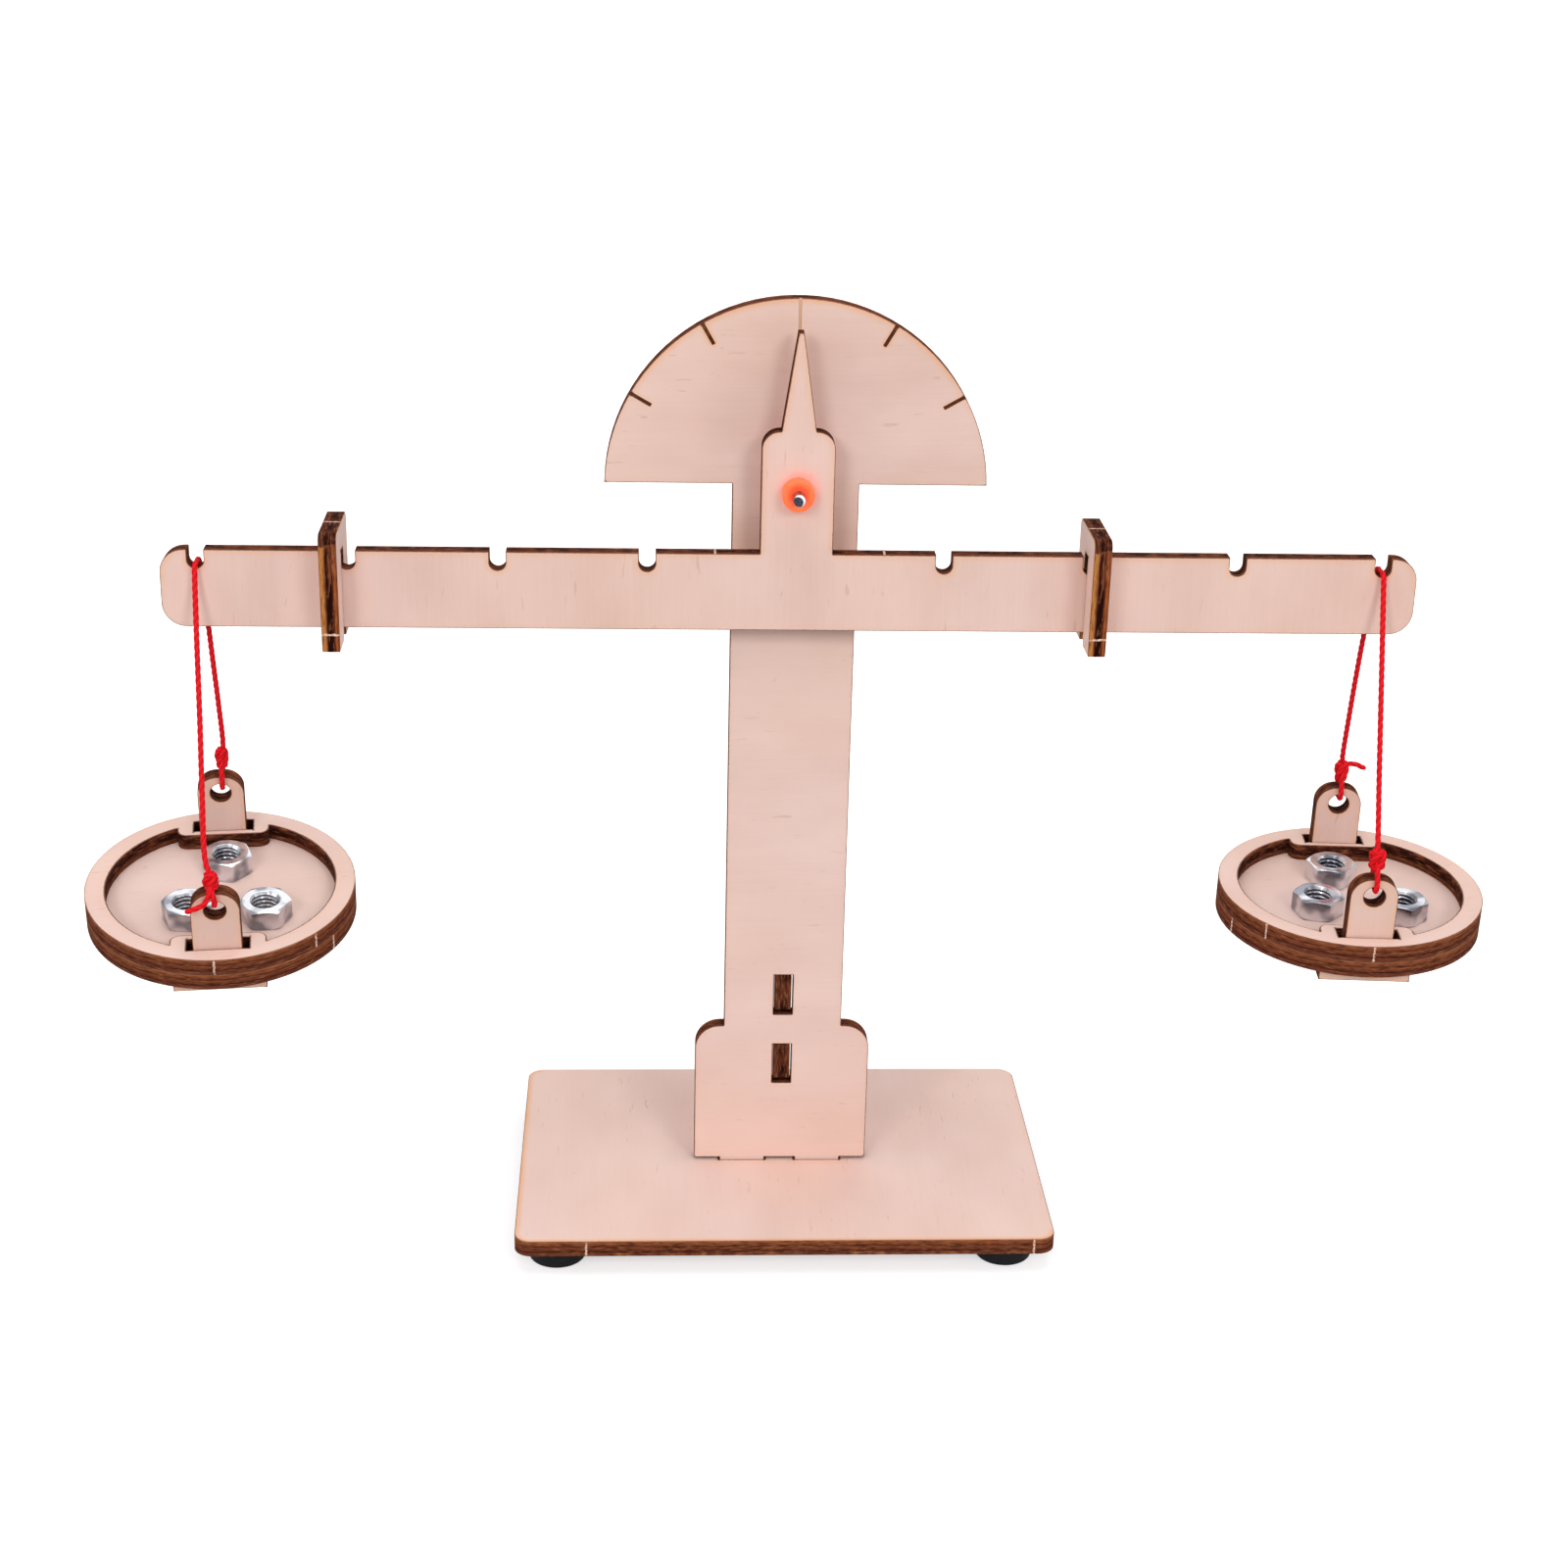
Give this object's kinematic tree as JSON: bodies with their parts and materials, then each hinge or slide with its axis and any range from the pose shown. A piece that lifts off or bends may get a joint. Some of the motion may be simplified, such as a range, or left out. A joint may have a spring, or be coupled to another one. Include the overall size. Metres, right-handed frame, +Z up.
{
  "type": "balance scale toy",
  "caption": "Toy beam balance of thin plywood: dial on a column, notched beam with pointer and riders, and two pans hung on cords with nuts in them.",
  "frame": {"origin": "middle of the base plate's outline, on the surface the four feet stand on", "axes": "+X along the beam to the right, +Y from the front with the pointer to the back, +Z up"},
  "size_m": [0.2467, 0.0644, 0.1682],
  "materials": {
    "birch_ply": "plain laser-cut plywood with scorched brown edges",
    "black_rubber": "smooth black rubber",
    "orange_tube": "translucent orange soft tube",
    "steel_wire": "bright drawn steel",
    "zinc_nut": "bright zinc-plated steel",
    "red_cord": "twisted red polyester thread"
  },
  "bodies": {
    "stand": {"base_plate": "birch_ply", "foot_front_left": "black_rubber", "foot_front_right": "black_rubber", "foot_back_left": "black_rubber", "foot_back_right": "black_rubber", "column_dial": "birch_ply", "rear_brace": "birch_ply", "axle": "steel_wire", "front_stop": "orange_tube", "spacer_stop": "orange_tube", "rear_stop": "orange_tube"},
    "beam": {"beam": "birch_ply"},
    "left_rider": {"left_rider": "birch_ply"},
    "right_rider": {"right_rider": "birch_ply"},
    "left_cord": {"left_cord": "red_cord"},
    "left_pan": {"left_pan_disc": "birch_ply", "left_pan_ring": "birch_ply", "left_front_hanger": "birch_ply", "left_back_hanger": "birch_ply"},
    "left_back_nut": {"left_back_nut": "zinc_nut"},
    "left_outer_nut": {"left_outer_nut": "zinc_nut"},
    "left_inner_nut": {"left_inner_nut": "zinc_nut"},
    "right_cord": {"right_cord": "red_cord"},
    "right_pan": {"right_pan_disc": "birch_ply", "right_pan_ring": "birch_ply", "right_front_hanger": "birch_ply", "right_back_hanger": "birch_ply"},
    "right_back_nut": {"right_back_nut": "zinc_nut"},
    "right_inner_nut": {"right_inner_nut": "zinc_nut"},
    "right_outer_nut": {"right_outer_nut": "zinc_nut"}
  },
  "joints": [
    {"name": "beam_pivot", "type": "hinge", "parent": "stand", "child": "beam", "pos_m": [0, -0.0082, 0.137], "axis": [0, 1, 0], "range_deg": [-30, 30]},
    {"name": "left_rider_slide", "type": "slide", "parent": "beam", "child": "left_rider", "axis": [1, 0, 0], "range_m": [-0.0196, 0.0429]},
    {"name": "right_rider_slide", "type": "slide", "parent": "beam", "child": "right_rider", "axis": [1, 0, 0], "range_m": [-0.0163, 0.0462]},
    {"name": "left_cord_swing", "type": "hinge", "parent": "beam", "child": "left_cord", "pos_m": [-0.1, -0.0082, 0.1237], "axis": [0, 1, 0], "range_deg": [-30, 30]},
    {"name": "left_pan_rock", "type": "hinge", "parent": "left_cord", "child": "left_pan", "pos_m": [-0.09914, -0.00962, 0.07302], "axis": [-0.1113, 0.9769, 0.1822], "range_deg": [-12, 12]},
    {"name": "left_back_nut_lift", "type": "slide", "parent": "left_pan", "child": "left_back_nut", "axis": [0.0206, -0.1811, 0.9833], "range_m": [0, 0.015]},
    {"name": "left_outer_nut_lift", "type": "slide", "parent": "left_pan", "child": "left_outer_nut", "axis": [0.0206, -0.1811, 0.9833], "range_m": [0, 0.015]},
    {"name": "left_inner_nut_lift", "type": "slide", "parent": "left_pan", "child": "left_inner_nut", "axis": [0.0206, -0.1811, 0.9833], "range_m": [0, 0.015]},
    {"name": "right_cord_swing", "type": "hinge", "parent": "beam", "child": "right_cord", "pos_m": [0.1, -0.0082, 0.1237], "axis": [0, 1, 0], "range_deg": [-30, 30]},
    {"name": "right_pan_rock", "type": "hinge", "parent": "right_cord", "child": "right_pan", "pos_m": [0.10067, -0.00868, 0.07314], "axis": [0.0696, 0.9957, 0.061], "range_deg": [-12, 12]},
    {"name": "right_back_nut_lift", "type": "slide", "parent": "right_pan", "child": "right_back_nut", "axis": [-0.0043, -0.0609, 0.9981], "range_m": [0, 0.015]},
    {"name": "right_inner_nut_lift", "type": "slide", "parent": "right_pan", "child": "right_inner_nut", "axis": [-0.0043, -0.0609, 0.9981], "range_m": [0, 0.015]},
    {"name": "right_outer_nut_lift", "type": "slide", "parent": "right_pan", "child": "right_outer_nut", "axis": [-0.0043, -0.0609, 0.9981], "range_m": [0, 0.015]}
  ],
  "couplings": [
    {"joint": "left_cord_swing", "follows": "beam_pivot", "ratio": -1},
    {"joint": "right_cord_swing", "follows": "beam_pivot", "ratio": -1}
  ]
}
